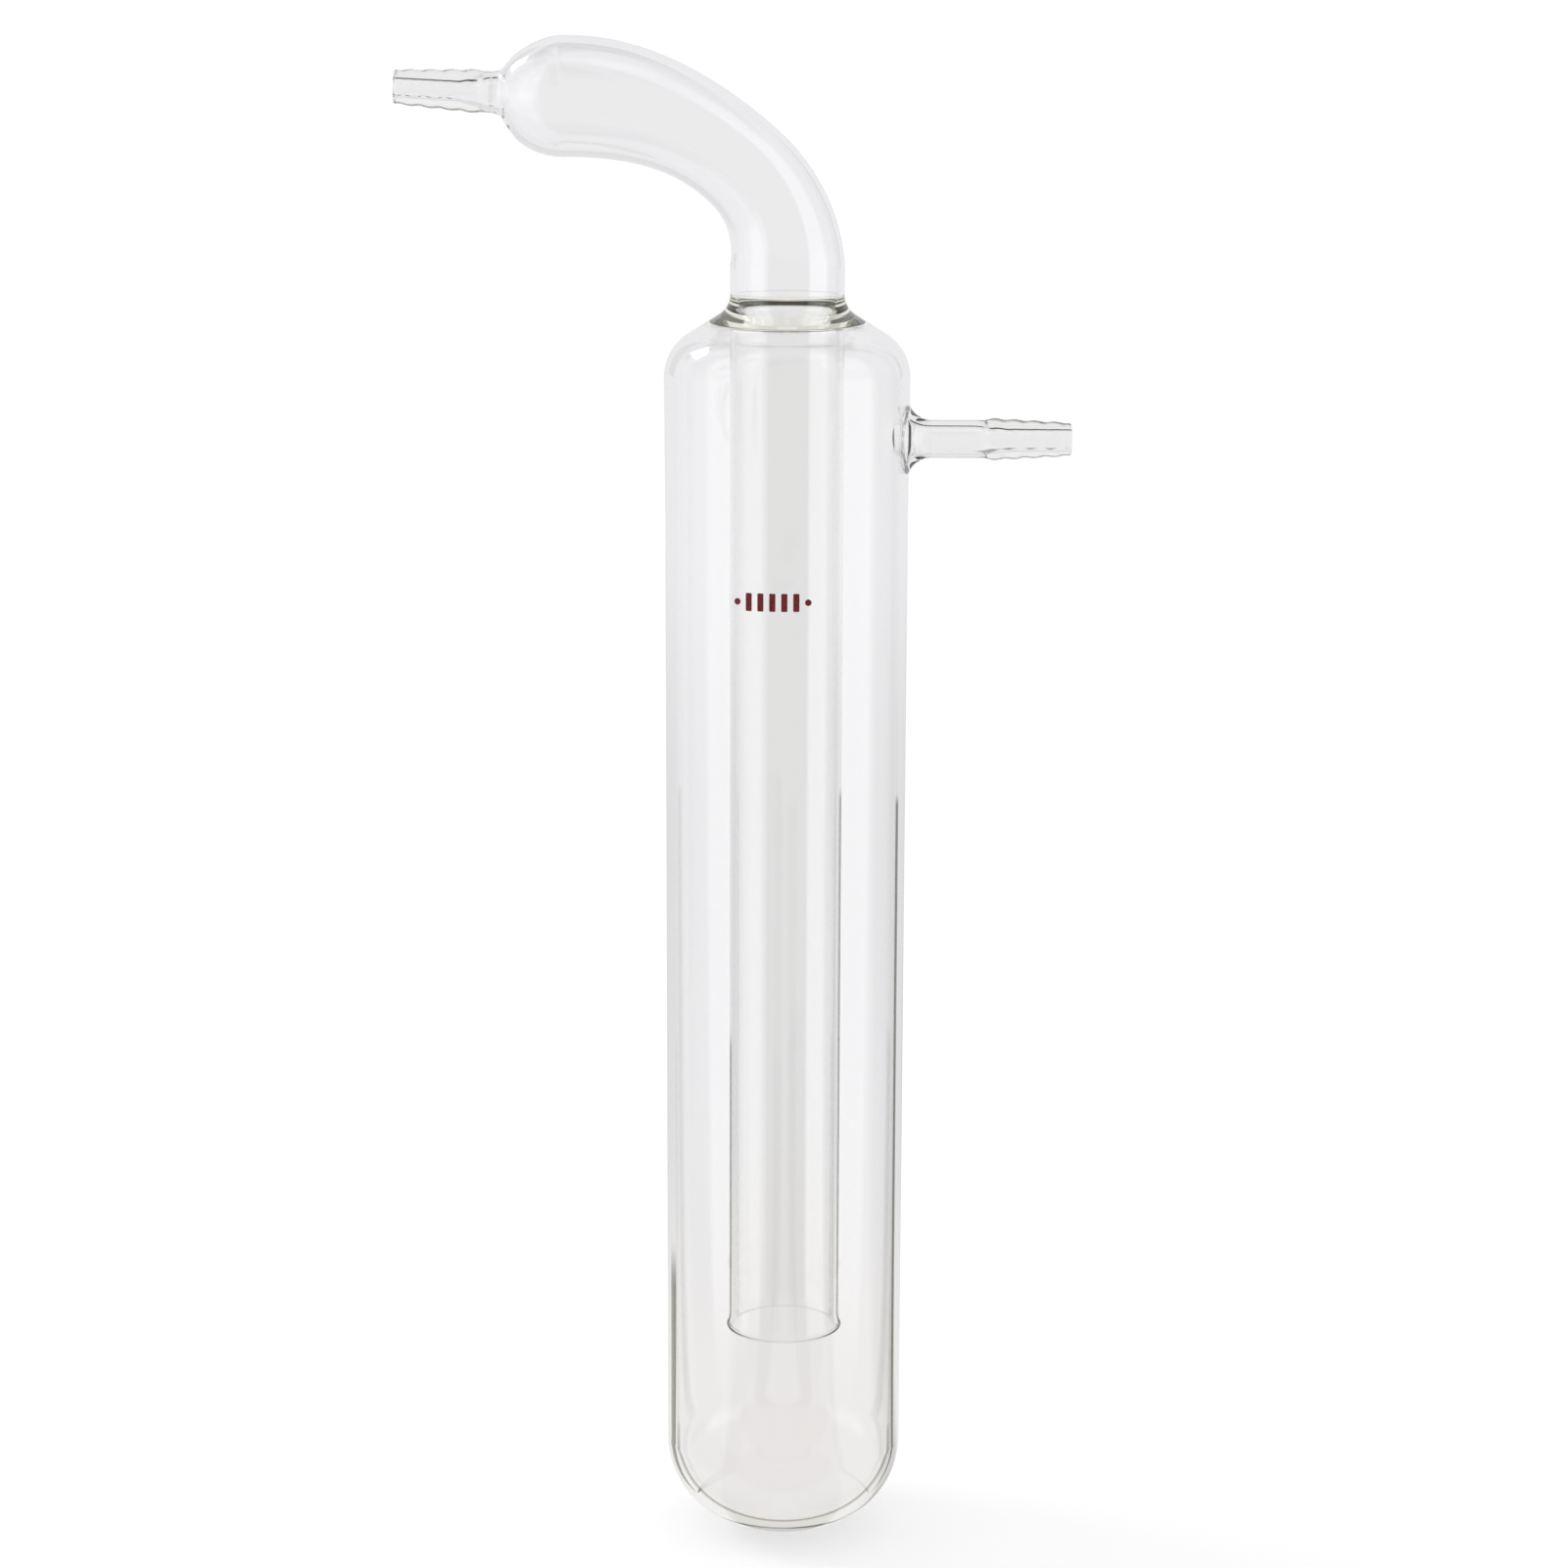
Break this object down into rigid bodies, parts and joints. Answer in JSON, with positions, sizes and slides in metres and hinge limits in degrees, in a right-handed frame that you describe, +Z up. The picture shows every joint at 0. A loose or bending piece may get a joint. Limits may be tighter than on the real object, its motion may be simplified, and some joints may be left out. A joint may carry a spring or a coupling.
{
  "type": "vacuum cold trap",
  "caption": "One-piece glass vapour trap: round-bottomed barrel with a ring-sealed dip tube, a bent bulb neck and serrated hose connections.",
  "frame": {"origin": "centre of the barrel's clamp grip, on the barrel's axis, 150 mm above the lowest point of the round bottom", "axes": "+Z up along the barrel, towards the bent neck; +X towards the side arm, -X towards the inlet; -Y is the front, with the enamel mark"},
  "size_m": [0.1655, 0.0604, 0.3806],
  "materials": {
    "borosilicate": "clear fire-polished borosilicate, faint olive where it is thick",
    "fired_enamel": "opaque dark red fired enamel, slightly raised, satin"
  },
  "bodies": {
    "root": {"outer_jacket": "borosilicate", "ring_seal": "borosilicate", "dip_tube": "borosilicate", "gooseneck": "borosilicate", "side_arm_seal": "borosilicate", "side_arm": "borosilicate", "inlet_seal": "borosilicate", "inlet_hose_connection": "borosilicate", "enamel_mark": "fired_enamel"}
  },
  "joints": []
}
